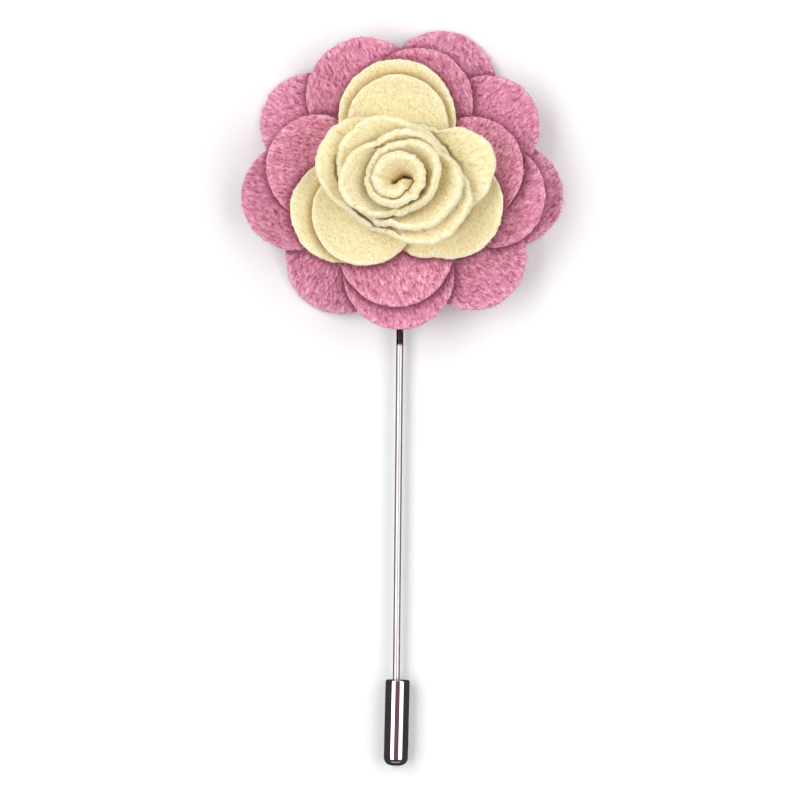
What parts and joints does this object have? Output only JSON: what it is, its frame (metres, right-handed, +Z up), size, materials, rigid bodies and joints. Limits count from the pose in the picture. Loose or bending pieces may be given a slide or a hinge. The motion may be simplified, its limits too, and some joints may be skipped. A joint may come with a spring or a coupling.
{
  "type": "flower lapel pin",
  "caption": "Layered felt flower with a rolled, scalloped strip at its middle, on a straight stick pin with a slide-off barrel stopper.",
  "frame": {"origin": "middle of the object's box, on the surface it lies on", "axes": "+Z up out of the flower's face, +Y along the object from the stopper to the flower, +X to the right seen from above"},
  "size_m": [0.04, 0.0914, 0.0169],
  "materials": {
    "pin_steel": "polished nickel plate",
    "stopper_chrome": "polished chrome plate",
    "pink_felt": "matt wool felt",
    "cream_felt": "matt wool felt"
  },
  "bodies": {
    "flower_pin": {"stick_pin": "pin_steel", "pink_layer_1": "pink_felt", "pink_layer_2": "pink_felt", "pink_layer_3": "pink_felt", "pink_layer_4": "pink_felt", "cream_layer_1": "cream_felt", "cream_layer_2": "cream_felt", "rose_strip": "cream_felt"},
    "stopper_body": {"stopper": "stopper_chrome"}
  },
  "joints": [
    {"name": "stopper_pull", "type": "slide", "parent": "flower_pin", "child": "stopper_body", "axis": [-0.0105, -0.9999, 0], "range_m": [0, 0.02]}
  ]
}
